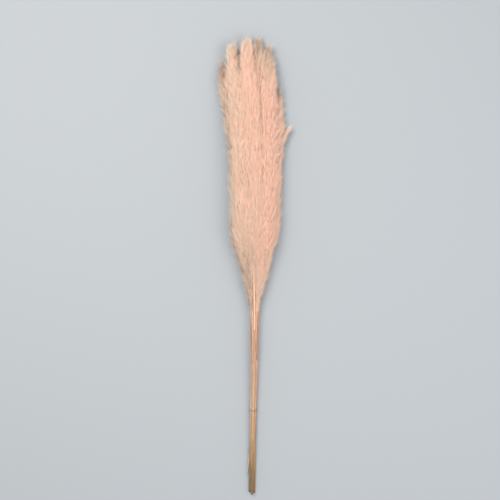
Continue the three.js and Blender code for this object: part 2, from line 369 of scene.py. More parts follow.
# %% The steps of a finish
class Finish:
    """A material in the making: its nodes, its links and its main shader."""

    def __init__(self, name, values):
        self.material = bpy.data.materials.new(name)
        self.material.use_nodes = True
        tree = self.material.node_tree
        self.nodes, self.links = tree.nodes, tree.links
        self.shader = self.nodes["Principled BSDF"]
        self.feed(self.shader, values)

    def feed(self, node, values):
        """Sets a node's inputs, or links them where the value is another node's output."""
        for socket, value in values.items():
            if isinstance(value, bpy.types.NodeSocket):
                self.links.new(value, node.inputs[socket])
            else:
                node.inputs[socket].default_value = value

    def node(self, kind, values=None, **settings):
        """The outputs of a new node."""
        node = self.nodes.new("ShaderNode" + kind)
        for setting, value in settings.items():
            setattr(node, setting, value)
        self.feed(node, values or {})
        return node.outputs

    def ramp(self, stops, share):
        """The colour that share looks up on a ramp through (place, colour) stops."""
        node = self.nodes.new("ShaderNodeValToRGB")
        elements = node.color_ramp.elements
        while len(elements) < len(stops):
            elements.new(0.5)
        for element, (place, colour) in zip(elements, stops):
            element.position = place
            element.color = colour
        self.feed(node, {0: share})
        return node.outputs[0]

    def streaks(self, scale, detail, roughness, stretch):
        """A noise, the longer along y the smaller stretch is."""
        place = self.node("TexCoord")["Object"]
        drawn = self.node("Mapping", {"Vector": place, "Scale": (1, stretch, 1)})[0]
        values = {"Vector": drawn, "Scale": scale, "Detail": detail, "Roughness": roughness}
        return self.node("TexNoise", values)["Fac"]

    def multiplied(self, first, second):
        """The product of two colours."""
        values = {"Factor": 1.0, "A": first, "B": second}
        return self.node("Mix", values, data_type="RGBA", blend_type="MULTIPLY")["Result"]

    def paint(self, colour):
        self.feed(self.shader, {"Base Color": colour})

    def raise_relief(self, height, strength, distance):
        bump = self.node("Bump", {"Height": height, "Strength": strength, "Distance": distance})
        self.feed(self.shader, {"Normal": bump[0]})

    def let_light_through(self, colour, share):
        """Mixes the shader with a translucent one of the same colour."""
        behind = self.node("BsdfTranslucent", {"Color": colour})[0]
        both = self.node("MixShader", {0: share, 1: self.shader.outputs[0], 2: behind})[0]
        self.feed(self.nodes["Material Output"], {"Surface": both})


# %% [markdown]
# ## The finish of the hair
# A plume has tens of thousands of hairs, too many to paint one by one, and too fine for a pattern in
# space. So every hair carries a UV map that says two things: across the map, which shade of dye it took,
# and up the map, how far a point is from the hair's root. The low end of the dye ramp is painted shade,
# and so are the darker roots, deep in the plume. The material only looks that up.

# %% The hair material
HAIR_MAP = "OFBake"
HAIR_TRANSLUCENCY = 0.36
# Painted shade: the low end of the dye ramp, SHADED, and the darker roots on the root ramp.
DYE_AND_PAINTED_SHADE = [(0.0, SHADED), (0.15, BEIGE), (0.5, PEACH), (1.0, ROSE)]
ROOT_PAINTED_SHADE = [(0.0, (0.82, 0.78, 0.74, 1)), (0.3, (0.96, 0.95, 0.94, 1)), (1.0, (1, 1, 1, 1))]

hair = Finish("silky_hair", {"Roughness": 0.62, "Sheen Weight": 0.25, "Sheen Roughness": 0.4,
                             "Specular IOR Level": 0.25})
hair_map = hair.node("SeparateXYZ", {0: hair.node("UVMap", uv_map=HAIR_MAP)["UV"]})
dyed = hair.multiplied(hair.ramp(DYE_AND_PAINTED_SHADE, hair_map["X"]), hair.ramp(ROOT_PAINTED_SHADE, hair_map["Y"]))
hair.paint(dyed)
hair.let_light_through(dyed, HAIR_TRANSLUCENCY)
silky_hair = hair.material
print(silky_hair.name, "has", len(silky_hair.node_tree.nodes), "nodes")

# %% [markdown]
# ## The finish of twigs and of the dense middle
# Both are streaked lengthwise. Twigs are nearly smooth. The down in the middle of a plume gets finer
# streaks and a strong relief, because it shows as dark ground between tufts. Its colours are the dye
# darkened with painted shade, the shade of the hair above it.

# %% Streaked plant materials
def streaked_material(name, stops, roughness, scale, stretch, bump=0.0):
    """Streaks between the colours of stops, with a relief if bump is set."""
    finish = Finish(name, {"Roughness": roughness, "Specular IOR Level": 0.3})
    streaks = finish.streaks(scale, 4, 0.6, stretch)
    finish.paint(finish.ramp(stops, streaks))
    if bump:
        finish.raise_relief(streaks, bump, 0.2 * MM)
    return finish.material


DOWN_IN_PAINTED_SHADE = [(0.36, CORE_DARK), (0.5, CORE_SHADED_BEIGE), (0.66, CORE_SHADED_PEACH)]
core_fluff = streaked_material("core_fluff", DOWN_IN_PAINTED_SHADE, 0.95, 1100, 0.06, bump=1.0)
dry_twig = streaked_material("dry_twig", [(0.3, SHADED), (0.7, BEIGE)], 0.7, 300, 0.04)

# %% [markdown]
# ## One tuft of hairs
# A spikelet's hairs spring from one point and lean forward in all directions, like a shaving brush. One
# hair is a three-sided spike, the smallest closed shape that has light and shade from every side. A tuft is
# ten such spikes, made once with the cone operator. It has to stay small, as thousands of copies follow.

# %% Make the tuft
HAIRS_IN_TUFT = 10
HAIR_LENGTH = 23 * MM
HAIR_RADIUS = 0.21 * MM
HAIR_TURN = 2.4
LEANS = [9, 12, 16, 30]


def make_tuft(rng, lean_degrees):
    """Corners, triangles and hair-map places of one tuft that grows along +z from the origin."""
    tuft = bmesh.new()
    places = tuft.loops.layers.uv.new(HAIR_MAP)
    for number in range(HAIRS_IN_TUFT):
        length = HAIR_LENGTH * rng.uniform(0.65, 1.15)
        made = bmesh.ops.create_cone(
            tuft, segments=3, radius1=HAIR_RADIUS, radius2=0, depth=length, cap_ends=True, cap_tris=False)
        corners = made["verts"]
        bmesh.ops.translate(tuft, verts=corners, vec=(0, 0, length / 2))
        shade = rng.uniform(-0.03, 0.03)
        base = sorted(corners, key=lambda corner: corner.co.z)[:3]
        # The three root corners get slightly different places, so that no face of the map is empty.
        place_of = {corner: (shade + 0.004 * (step - 1), 0.02 + 0.02 * (step % 2))
                    for step, corner in enumerate(base)}
        for face in {face for corner in corners for face in corner.link_faces}:
            for loop in face.loops:
                loop[places].uv = place_of.get(loop.vert, (shade, 0.98))
        lean = math.radians(lean_degrees) * math.sqrt((number + 0.5) / HAIRS_IN_TUFT)
        turn = number * HAIR_TURN + rng.uniform(-0.3, 0.3)
        spin = Matrix.Rotation(turn, 3, "Z") @ Matrix.Rotation(lean, 3, "Y")
        bmesh.ops.rotate(tuft, verts=corners, cent=(0, 0, 0), matrix=spin)
        start = rng.uniform(-0.25, 0.15) * length
        bmesh.ops.translate(tuft, verts=corners, vec=spin @ Vector((0, 0, start)))
    bmesh.ops.triangulate(tuft, faces=tuft.faces)
    tuft.verts.index_update()
    corners = np.array([corner.co[:] for corner in tuft.verts])
    faces = np.array([[corner.index for corner in face.verts] for face in tuft.faces])
    uvs = np.array([[loop[places].uv[:] for loop in face.loops] for face in tuft.faces])
    tuft.free()
    return corners, faces, uvs


tuft_shapes = [make_tuft(np.random.default_rng(seed), lean) for seed, lean in enumerate(LEANS)]
print("a tuft has", len(tuft_shapes[0][1]), "faces and", len(tuft_shapes[0][0]), "corners")


# %% [markdown]
# ## Planting tufts
# Copying a small mesh thousands of times with operators would take minutes. Instancing does the same with
# numbers: each copy's corners are the tuft's corners, turned, scaled and moved.

# %% Plant copies of the tufts in one mesh
FLOOR_GAP = 0.4 * MM
SOFT_CEILING = cad_box[1][2] + 4 * MM
CEILING_GIVE = 5 * MM


def kept_in_height(z):
    """Heights that stay above the floor and bend over softly above the ceiling."""
    above = np.maximum(z - SOFT_CEILING, 0)
    bent = np.minimum(z, SOFT_CEILING) + CEILING_GIVE * (1 - np.exp(-above / CEILING_GIVE))
    return np.maximum(bent, FLOOR_GAP)


def unit(vectors):
    return vectors / np.linalg.norm(vectors, axis=-1, keepdims=True)


def plant(name, spots, aims, sizes, shades, rng):
    """One object that holds a tuft at every spot, pointing along its aim."""
    side = unit(np.cross(aims, rng.normal(size=aims.shape)))
    turns = np.stack([side, np.cross(aims, side), aims], 2)
    kinds = rng.integers(0, len(tuft_shapes), len(spots))
    all_corners, all_faces, all_uvs, first = [], [], [], 0
    for kind, (corners, faces, uvs) in enumerate(tuft_shapes):
        here = kinds == kind
        grown = np.einsum("nij,kj->nki", turns[here], corners) * sizes[here][:, None, None]
        grown += spots[here][:, None, :]
        starts = first + np.arange(here.sum()) * len(corners)
        all_corners.append(grown.reshape(-1, 3))
        all_faces.append((faces[None] + starts[:, None, None]).reshape(-1, 3))
        mapped = np.broadcast_to(uvs, (here.sum(), *uvs.shape)).copy()
        mapped[..., 0] += shades[here][:, None, None]
        all_uvs.append(mapped.reshape(-1, 2))
        first += here.sum() * len(corners)
    corners, faces = np.concatenate(all_corners), np.concatenate(all_faces)
    corners[:, 2] = kept_in_height(corners[:, 2])
    mesh = bpy.data.meshes.new(name)
    mesh.from_pydata(corners, [], faces)
    places = mesh.uv_layers.new(name=HAIR_MAP)
    places.data.foreach_set("uv", np.clip(np.concatenate(all_uvs), 0.005, 0.995).ravel())
    mesh.materials.append(silky_hair)
    return add_object(name, mesh)


# %% [markdown]
# ## The branches of a plume
# Branches leave the rachis all the way up, turn forward at once and lie almost along it, the outer ones
# just under the plume's surface. Each has a start, a direction round the rachis, a length and a share of the
# reach. Neighbours stay apart as locks, and the grooves between locks are the streaks down a plume.

# %% Lay the branches
ROUTE_POINTS = 14
GOLDEN_TURN = 2.39996
LOCK_RADIUS = 3.2 * MM
MARGIN = 2.0 * MM
LOWEST_END = 60 * MM
END_CROWDING, END_OVERSHOOT = 0.9, 1.12
LENGTH_SHARES, LENGTHS = [0, 0.12, 0.8, 1], [0.06, 0.15, 0.15, 0.12]
START_SPREAD = 12
TIP_SCATTER, LOOSE_RETREAT = (-26, 5), 36
OUTER_SHARE, OUTER_FILL, INNER_FILL = 0.7, (0.88, 1.04), (0.72, 0.88)
TIP_ZONE = 90 * MM
SWAY, LOOSE_SWAY = 0.10, 0.35
RISE_POWER = 2.6
RACHIS_ROOM = 0.6 * MM

# What sets each plume apart: the middle of its dye shade, and how loose its tip is.
CHARACTER = {
    "plume_1": {"dye": 0.18, "loose": 0.3},
    "plume_2": {"dye": 0.45, "loose": 0.1},
    "plume_3": {"dye": 0.74, "loose": 0.1},
    "plume_4": {"dye": 0.80, "loose": 0.75},
    "plume_5": {"dye": 0.82, "loose": 0.9},
    "plume_6": {"dye": 0.70, "loose": 0.4},
}


def lay_branches(space, count, loose, rng):
    """Routes of a plume's branches, as one array: branch, point along it, coordinate."""
    length = space.tip - space.base
    share = (np.arange(count) + rng.uniform(0, 1, count)) / count
    end = space.base + LOWEST_END + (length - LOWEST_END) * share ** END_CROWDING * END_OVERSHOOT
    long = np.interp(share, LENGTH_SHARES, LENGTHS) * rng.uniform(0.8, 1.25, count)
    short_of_tip = rng.uniform(*TIP_SCATTER, count) - LOOSE_RETREAT * loose * rng.uniform(0, 1, count)
    end = np.minimum(end, space.tip + short_of_tip * MM)
    start = np.maximum(end - long, space.base + rng.uniform(0, START_SPREAD, count) * MM)
    angle = np.arange(count) * GOLDEN_TURN + rng.uniform(-0.2, 0.2, count)
    outer = rng.uniform(size=count) < OUTER_SHARE
    fill = np.where(outer, rng.uniform(*OUTER_FILL, count), rng.uniform(*INNER_FILL, count))
    s = np.linspace(0, 1, ROUTE_POINTS)[None, :]
    y = start[:, None] + (end - start)[:, None] * s
    near_tip = np.clip((y - (space.tip - TIP_ZONE)) / TIP_ZONE, 0, 1)
    bends, phase = rng.uniform(0.5, 1.4, count)[:, None], rng.uniform(0, 1, count)[:, None]
    wave = np.sin(2 * math.pi * (s * bends + phase))
    around = angle[:, None] + (SWAY + LOOSE_SWAY * loose * near_tip) * wave
    rise = 1 - (1 - s) ** RISE_POWER
    out = np.maximum(space.rounded_reach(y, around) - MARGIN, RACHIS_ROOM) * rise * fill[:, None]
    middle = space.middle(y)
    middle[..., 1] = y
    middle[..., 0] += np.cos(around) * out
    middle[..., 2] += np.sin(around) * out
    return middle


def along(routes, branch, s):
    """Points and directions on the branches, at the shares s of their length."""
    last = routes.shape[1] - 1
    at = np.clip(s, 0, 1) * last
    low = np.minimum(at.astype(int), last - 1)
    first, second = routes[branch, low], routes[branch, low + 1]
    spots = first + (second - first) * (at - low)[:, None]
    return spots, unit(second - first)


# %% [markdown]
# ## The hair of a plume
# Just over half of the tufts stand on the branches. The others are a veil all over the surface, combed by
# a slow wave, because a plume with locks alone looks like a brush. Hair that another plume buries is hardly
# worth growing, so most of it is left out. Near a loose tip the hair gets thin, short and untidy, and is
# darkened with painted shade for the shadow in the loose tangle. Hair also gets darker towards the neck
# and at the very tip.

# %% Which tufts are worth growing
TUFTS_IN_PLUME = 4900
VEIL_SHARE = 0.45
CANDIDATES = 3
BURIED_DEPTH = 15 * MM
BURIED_SHARE = 0.08
TUFT_SIZES = (0.75, 1.15)


def in_sight(spots, count, rng):
    """The numbers of count spots, mostly ones that no other plume buries."""
    buried = (depth_in_bag(spots) > BURIED_DEPTH) & (spots[:, 1] < MINGLED)
    chance = np.where(buried, BURIED_SHARE, 1.0)
    return rng.choice(len(spots), count, replace=False, p=chance / chance.sum())


def lock_tufts(routes, wanted, rng):
    """Where the tufts on the branches stand and aim, how big they are and which branch they are on."""
    count = CANDIDATES * wanted
    lengths = np.linalg.norm(np.diff(routes, axis=1), axis=2).sum(1)
    branch = rng.choice(len(routes), count, p=lengths / lengths.sum())
    s = rng.uniform(0.06, 1.0, count)
    spots, aims = along(routes, branch, s)
    thick = LOCK_RADIUS * (1 - 0.7 * s ** 2)
    spots = spots + rng.normal(size=spots.shape) * thick[:, None] * 0.5
    sizes = rng.uniform(*TUFT_SIZES, count) * (1 - 0.25 * s)
    seen = in_sight(spots, wanted, rng)
    return spots[seen], aims[seen], sizes[seen], branch[seen]


# %% The veil over a plume
VEIL_BELOW, VEIL_SHORTER = 8 * MM, 4 * MM
VEIL_DEPTH = 0.3
COMB_STEP = 4 * MM
COMB_WAVES = [(0.16, 2, 22), (0.12, 3, -47), (0.08, 7, 90)]
OUTWARD, OUTWARD_AT_FLANKS = 0.06, 0.42


def veil_tufts(space, wanted, rng):
    """Tufts spread evenly over the plume's surface, combed by a slow wave."""
    count = CANDIDATES * wanted
    length = space.tip - space.base
    y = space.base - VEIL_BELOW + (length - VEIL_SHORTER) * rng.uniform(0, 1, count)
    around = rng.uniform(0, 2 * math.pi, count)
    depth = 1 - VEIL_DEPTH * rng.uniform(0, 1, count) ** 1.5
    phases = rng.uniform(0, 2 * math.pi, len(COMB_WAVES))
    tilt = sum(height * np.sin(turns * around + pitch * y + phase)
               for (height, turns, pitch), phase in zip(COMB_WAVES, phases))

    def point(y_at, angle):
        out = np.maximum(space.rounded_reach(y_at, angle) - MARGIN, 1 * MM) * depth
        middle = space.middle(y_at)
        middle[:, 1] = y_at
        return middle + outwards(angle) * out[:, None]

    spots = point(y, around)
    out = np.maximum(np.linalg.norm(spots - space.middle(y), axis=1), 3 * MM)
    ahead = point(y + COMB_STEP, around + tilt * COMB_STEP / out)
    sideways = OUTWARD + OUTWARD_AT_FLANKS * np.abs(np.cos(around)) * rng.uniform(0, 1, count)
    aims = unit(ahead - spots) + sideways[:, None] * outwards(around)
    seen = in_sight(spots, wanted, rng)
    return spots[seen], unit(aims[seen]), rng.uniform(*TUFT_SIZES, wanted)


# %% Shade, comb and plant the hair
LOOSE_END = 75 * MM
BARE_END = 6 * MM
DULL_START = 220 * MM
FRINGE = 34 * MM
UNTIDY_SHARE, UNTIDY, TIDY, LOOSE_UNTIDY = 0.12, 0.4, 0.08, 0.55
THINNING = 1.05
SHORTENING = 0.45
FRINGE_DARKENING, NECK_DARKENING = 0.75, 0.3


def streaks_across(spots):
    """Streaks of dye that run down a plume, nearly along y."""
    across, up = spots[:, 0], spots[:, 1]
    return 0.12 * np.sin(620 * across + 9 * up) + 0.1 * np.sin(1130 * across - 17 * up + 2)


def looseness(spots, space, nature):
    """From 0 to the plume's own looseness, where a spot is near the tip."""
    return np.clip((spots[:, 1] - (space.tip - LOOSE_END)) / LOOSE_END, 0, 1) * nature["loose"]


def grow_hair(name, space, routes, dyes, nature, rng):
    """The hair piece of one plume, with tufts on its branches and all over its surface."""
    veil = int(TUFTS_IN_PLUME * VEIL_SHARE)
    spots, aims, sizes, branch = lock_tufts(routes, TUFTS_IN_PLUME - veil, rng)
    more_spots, more_aims, more_sizes = veil_tufts(space, veil, rng)
    veil_shades = nature["dye"] + streaks_across(more_spots) + rng.normal(size=veil) * 0.02
    shades = np.concatenate([dyes[branch], veil_shades])
    spots, aims = np.concatenate([spots, more_spots]), np.concatenate([aims, more_aims])
    sizes = np.concatenate([sizes, more_sizes])
    loose = looseness(spots, space, nature)
    stray = np.where(rng.uniform(size=len(spots)) < UNTIDY_SHARE, UNTIDY, TIDY) + LOOSE_UNTIDY * loose
    aims = unit(aims + rng.normal(size=aims.shape) * stray[:, None])
    kept = (rng.uniform(size=len(spots)) > THINNING * loose) & (spots[:, 1] < space.tip - BARE_END)
    near_base = np.clip((spots[:, 1] - space.base) / NECK_LENGTH, 0, 1)
    sizes = sizes * (1 - SHORTENING * loose) * (0.5 + 0.5 * near_base)
    # Hair gets darker towards the neck and within FRINGE of every tip.
    near_neck = np.clip(1 - (spots[:, 1] - space.base) / DULL_START, 0, 1)
    fringe = np.clip(1 - (space.tip - spots[:, 1]) / FRINGE, 0, 1)
    # Painted shade: near a loose tip the hair is darkened towards SHADED, for the shadow in the loose tangle.
    shades = shades * (1 - loose) * (1 - FRINGE_DARKENING * fringe) - NECK_DARKENING * near_neck
    shades = shades + rng.normal(size=len(spots)) * 0.02
    return plant(name, spots[kept], aims[kept], sizes[kept], np.clip(shades[kept], 0.04, 0.96), rng)


# %% [markdown]
# ## The dense middle and the branches themselves
# Deep inside a plume the hairs are so dense that no light comes through. A simple closed body stands for
# another hundred thousand of them there; the real plume has no such separate thing. Between it and the
# surface run the thin branches, each a three-sided tube, and the rachis.

# %% Inner down, rachis and branches of a plume
CORE_SHARE = 0.68
CORE_ENDS_BEFORE, LOOSE_CORE_SHARE = 22 * MM, 0.8
CORE_LOWEST = 1.5 * MM
RACHIS_RADIUS, RACHIS_TIP_RADIUS = 1.7 * MM, 0.5 * MM
RACHIS_SIDES = 6
TWIG_RADIUS, TWIG_TIP_RADIUS = 0.32 * MM, 0.12 * MM


def make_core(node, space, loose):
    core = bmesh.new()
    length = space.tip - space.base - CORE_ENDS_BEFORE - loose * LOOSE_END * LOOSE_CORE_SHARE

    def place(share_round, share_along):
        y = space.base + length * share_along
        angle = 2 * math.pi * share_round
        ripple = 1 + 0.05 * math.sin(9 * angle + 60 * y) + 0.04 * math.sin(5 * angle - 110 * y)
        out = float(space.rounded_reach(np.array(y), np.array(angle))) * CORE_SHARE * ripple
        middle = space.middle(y)
        height = max(middle[2] + math.sin(angle) * out, CORE_LOWEST)
        return Vector((middle[0] + math.cos(angle) * out, y, height))

    roll_tube(core, 2 * DIRECTIONS, STATIONS - 1, place)
    close_ends(core)
    return finish_piece(f"{node}_inner_down", core, [core_fluff], node)


def make_branches(node, space, routes):
    twigs = bmesh.new()
    rachis = space.middles[:-6]
    tube_along(twigs, rachis, np.linspace(RACHIS_RADIUS, RACHIS_TIP_RADIUS, len(rachis)), RACHIS_SIDES)
    for route in routes:
        tube_along(twigs, route, np.linspace(TWIG_RADIUS, TWIG_TIP_RADIUS, len(route)))
    close_ends(twigs)
    return finish_piece(f"{node}_branches", twigs, [dry_twig], node)


# %% [markdown]
# ## Wisps
# A plume's outline is never smooth. Short branchlets stand off it with their own small hairs, and at a
# loose tip they curl and tangle. They are routes like the branches, but start at the surface, swing
# outwards and curl a little. A few are bare, because their hairs have blown away.

# %% Lay the wisps of a plume
WISP_POINTS = 10
TUFTS_ON_WISP = 4
WISP_ROOT = 2 * MM
WISP_DRIFT = 0.25

# The kinds of wisps: how many, how long, how far they stand off for their length, how strongly they curl,
# and between which shares of the plume's length they start.
WISPS = {
    "outline": {"count": 130, "long": (12, 32), "lift": (0.15, 0.6), "curl": 0.06, "from": (0.05, 0.95)},
    "neck": {"count": 45, "long": (10, 22), "lift": (0.3, 0.8), "curl": 0.08, "from": (0.02, 0.22)},
    "curls": {"count": 12, "long": (12, 30), "lift": (-0.45, 0.2), "curl": 0.24, "from": (0.84, 0.985)},
    "bare": {"count": 12, "long": (10, 26), "lift": (0.1, 0.5), "curl": 0.08, "from": (0.2, 0.98)},
    "strays": {"count": 5, "long": (16, 30), "lift": (0.0, 0.6), "curl": 0.07, "from": (0.955, 0.985)},
}
CURLS_OF_LOOSE_TIP = 420


def lay_wisps(space, kind, count, rng):
    """Routes that leave the plume's surface, of one of the kinds above."""
    start = space.base + (space.tip - space.base) * rng.uniform(*kind["from"], count)
    length = rng.uniform(kind["long"][0] * MM, kind["long"][1] * MM, count)[:, None]
    s = np.linspace(0, 1, WISP_POINTS)[None, :]
    around = rng.uniform(0, 2 * math.pi, count)[:, None] + rng.normal(size=(count, 1)) * WISP_DRIFT * s
    y = start[:, None] + length * s
    rim = np.maximum(space.rounded_reach(start[:, None] + 0 * s, around) - WISP_ROOT, 1 * MM)
    wall = space.rounded_reach(np.minimum(y, space.tip - BARE_END), around)
    rim = np.minimum(rim, np.maximum(wall, 3 * MM))
    out = rim + length * (rng.uniform(*kind["lift"], count)[:, None] * s ** 1.5 - 0.05)
    turns, phase = rng.uniform(0.6, 1.6, (count, 1)), rng.uniform(0, 2 * math.pi, (2, count, 1))
    wave = kind["curl"] * length * s
    middle = space.middle(np.minimum(y, space.tip))
    middle[..., 0] += np.cos(around) * out + wave * np.sin(2 * math.pi * turns * s + phase[0])
    middle[..., 1] = y + 0.5 * wave * np.cos(2 * math.pi * turns * s + phase[1])
    middle[..., 2] += np.sin(around) * out + wave * np.cos(2 * math.pi * turns * s + phase[0])
    middle[..., 2] = np.maximum(kept_in_height(middle[..., 2]), 1 * MM)
    return middle


def wisps_of(space, loose, rng):
    """All wisps of a plume, by their kind. A loose tip has many more curls."""
    counts = {name: kind["count"] for name, kind in WISPS.items()}
    counts["curls"] += int(CURLS_OF_LOOSE_TIP * loose)
    return {name: lay_wisps(space, kind, counts[name], rng) for name, kind in WISPS.items()}


def wisp_tufts(wisps, size, scatter, rng):
    """Small tufts along wisps."""
    count = len(wisps) * TUFTS_ON_WISP
    branch = np.repeat(np.arange(len(wisps)), TUFTS_ON_WISP)
    s = rng.uniform(0.05, 0.95, count)
    spots, aims = along(wisps, branch, s)
    spots = spots + rng.normal(size=spots.shape) * scatter * (1.2 - s[:, None])
    aims = unit(aims + rng.normal(size=aims.shape) * 0.12)
    return spots, aims, size * rng.uniform(0.7, 1.2, count) * (1.1 - 0.5 * s)


# %% The branch that stands off
SIDE_BRANCH_LENGTH = 84 * MM
SIDE_BEND_OUT, SIDE_BEND_UP = 0.5, 0.55


def side_branch(space):
    """The route of the one branch that stands off the last plume, up to the outermost corner of its solid."""
    corners, _ = mesh_arrays(space.node)
    end = corners[corners[:, 0].argmax()]
    start = space.middle(end[1] - SIDE_BRANCH_LENGTH)
    start[1] = end[1] - SIDE_BRANCH_LENGTH
    bend = np.array([start[0] + SIDE_BEND_OUT * (end[0] - start[0]),
                     start[1] + SIDE_BEND_UP * (end[1] - start[1]), end[2]])
    s = np.linspace(0, 1, WISP_POINTS)[:, None]
    return ((1 - s) ** 2 * start + 2 * s * (1 - s) * bend + s ** 2 * end)[None]


# %% [markdown]
# ## Put the plumes together
# Every plume gets its own random generator with a fixed seed, so the bunch is the same in every run, and
# one plume can be changed without moving a hair on the next.

# %% Make every plume
BRANCHES = 170
DYE_SPREAD = 0.16
OUTLINE_SIZE, CURL_SIZE, SIDE_SIZE = 0.6, 0.3, 0.9
WISP_SCATTER, SIDE_SCATTER = 0.4 * MM, 2.6 * MM
SIDE_BRANCH_TUFTS = 110
FLUFF_SHADES, FLUFF_DYE, FLUFF_PAINTED_SHADE = (0.08, 0.3), 0.3, 0.5

for number, node in enumerate(PLUMES):
    rng = np.random.default_rng(100 + number)
    nature, space = CHARACTER[node], spaces[node]
    routes = lay_branches(space, BRANCHES, nature["loose"], rng)
    dyes = nature["dye"] + rng.normal(size=BRANCHES) * DYE_SPREAD
    wisps = wisps_of(space, nature["loose"], rng)
    fringe = np.concatenate([wisps["outline"], wisps["neck"]])
    loners = [wisp_tufts(fringe, OUTLINE_SIZE, WISP_SCATTER, rng),
              wisp_tufts(wisps["curls"], CURL_SIZE, WISP_SCATTER, rng)]
    twigs = [*routes, *np.concatenate(list(wisps.values()))]
    if node == PLUMES[-1]:
        branch = side_branch(space)
        loners.append(wisp_tufts(np.repeat(branch, SIDE_BRANCH_TUFTS, 0), SIDE_SIZE, SIDE_SCATTER, rng))
        twigs.append(branch[0])
    hair = grow_hair(f"{node}_hair", space, routes, dyes, nature, rng)
    spots, aims, sizes = [np.concatenate(values) for values in zip(*loners)]
    shades = rng.uniform(*FLUFF_SHADES, len(spots)) + FLUFF_DYE * nature["dye"]
    # Painted shade: fluff near a loose tip is darker, for the shadow in the loose tangle.
    shades = shades - FLUFF_PAINTED_SHADE * looseness(spots, space, nature)
    fluff = plant(f"{node}_fluff", spots, aims, sizes, shades, rng)
    for piece in [hair, fluff]:
        stand_for(piece, node)
        print(piece.name, "has", len(piece.data.polygons), "faces")
    make_core(node, space, nature["loose"])
    make_branches(node, space, twigs)

# %% [markdown]
# ## The culms
# Below its plume each stalk is a bare culm: a straw about 5 mm thick, slightly fluted, with a swollen joint
# every 150 mm, where a leaf once grew. Its cut foot shows a rim with paler pith inside. We roll each culm
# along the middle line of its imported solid, with extra rows of corners around every joint, and inset the
# cut face. At the other end it runs on inside the plume, where it turns into the rachis.

# %% Culms from their middle lines
CULM_SIDES = 16
ROW_STEP = 7 * MM
JOINT_SPACING = 150 * MM
JOINT_ROWS = np.array([-3.0, -1.6, -0.8, -0.3, 0.3, 0.8, 1.6, 3.0]) * MM
JOINT_SWELL, JOINT_WIDTH = 0.11, 1.1 * MM
FLUTES, FLUTE_DEPTH, FLUTE_MIDDLE = 7, 0.02, 0.985
CUT_SLOPE = 0.5
RIM, PITH_SLOPE, PITH_DEPTH = 0.55 * MM, 0.1 * MM, 0.5 * MM


def joints_of(number, low, high):
    """Where the joints of a culm sit along it: evenly spaced, but not level with its neighbours'."""
    return np.arange(low + 40 * MM + 23 * MM * (number * 5 % 6), high - 20 * MM, JOINT_SPACING)


def make_culm(number):
    node = f"stem_{number}"
    middles, halves = middle_line(node)
    inside = spaces[f"plume_{number}"].middles[1:8]
    middles = np.concatenate([middles, inside])
    halves = np.concatenate([halves, np.linspace(halves[-1], 0.6 * RACHIS_RADIUS, len(inside))])
    ys = middles[:, 1]
    joints = joints_of(number, ys[0], ys[-1])
    even_rows = np.arange(ys[0], ys[-1], ROW_STEP)
    rows = np.sort(np.concatenate([even_rows, [ys[-1]], *(joints[:, None] + JOINT_ROWS)]))
    rng = np.random.default_rng(300 + number)
    phase, cut_slope = rng.uniform(0, 2 * math.pi), rng.uniform(-CUT_SLOPE, CUT_SLOPE)

    def place(share_round, share_along):
        y = rows[round(share_along * (len(rows) - 1))]
        angle = 2 * math.pi * share_round
        middle = [np.interp(y, ys, middles[:, axis]) for axis in (0, 2)]
        radius = np.interp(y, ys, halves)
        nearest = np.abs(joints - y).min() if len(joints) else 1.0
        radius *= 1 + JOINT_SWELL * math.exp(-(nearest / JOINT_WIDTH) ** 2)
        radius *= FLUTE_MIDDLE + FLUTE_DEPTH * math.cos(FLUTES * angle + phase + 3 * y / JOINT_SPACING)
        slope = cut_slope * radius * math.cos(angle) * max(0, 1 - (y - ys[0]) / ROW_STEP)
        return Vector((middle[0] + math.cos(angle) * radius, y + slope, middle[1] + math.sin(angle) * radius))

    culm = bmesh.new()
    roll_tube(culm, CULM_SIDES, len(rows) - 1, place)
    caps = close_ends(culm)
    foot = min(caps, key=lambda face: face.calc_center_median().y)
    bmesh.ops.inset_region(culm, faces=[foot], thickness=RIM, use_even_offset=True)
    bmesh.ops.inset_region(culm, faces=[foot], thickness=PITH_SLOPE, depth=-PITH_DEPTH, use_even_offset=True)
    foot.material_index = 1
    return finish_piece(f"culm_{number}", culm, [culm_straw, culm_pith], node)


# %% [markdown]
# ## The finish of culm, pith and leaf sheath
# A culm is straw: ochre where it was cut, and dyed more and more towards its plume. Two patterns are
# multiplied: a ramp that reads y, shifted to and fro by long blotches, and a drawn-out noise for the
# fibres. The pith gets a fine even noise. A leaf sheath is paper thin, so some light comes through it.

# %% Straw, pith and sheath materials
CUT_END, NECK = -0.55, -0.05
BLOTCH_SHIFT = 1.2
FIBRES = [(0.3, (0.55, 0.5, 0.42, 1)), (0.48, (0.86, 0.84, 0.8, 1)), (0.65, (1, 1, 1, 1))]


def straw_material(name, by_length, roughness, translucency=0.0):
    """by_length are the colours from the cut end to the neck."""
    finish = Finish(name, {"Roughness": roughness, "Specular IOR Level": 0.4})
    place = finish.node("TexCoord")["Object"]
    y = finish.node("SeparateXYZ", {0: place})["Y"]
    reach = finish.node("MapRange", {"Value": y, "From Min": CUT_END, "From Max": NECK})[0]
    blotches = finish.streaks(260, 3, 0.5, 0.04)
    drift = finish.node("Math", {0: blotches, 1: BLOTCH_SHIFT, 2: reach}, operation="MULTIPLY_ADD")[0]
    centred = finish.node("Math", {0: drift, 1: BLOTCH_SHIFT / 2}, operation="SUBTRACT")[0]
    fibres = finish.streaks(900, 5, 0.65, 0.025)
    colour = finish.multiplied(finish.ramp(by_length, centred), finish.ramp(FIBRES, fibres))
    finish.paint(colour)
    finish.raise_relief(fibres, 0.6, 0.15 * MM)
    if translucency:
        finish.let_light_through(colour, translucency)
    return finish.material


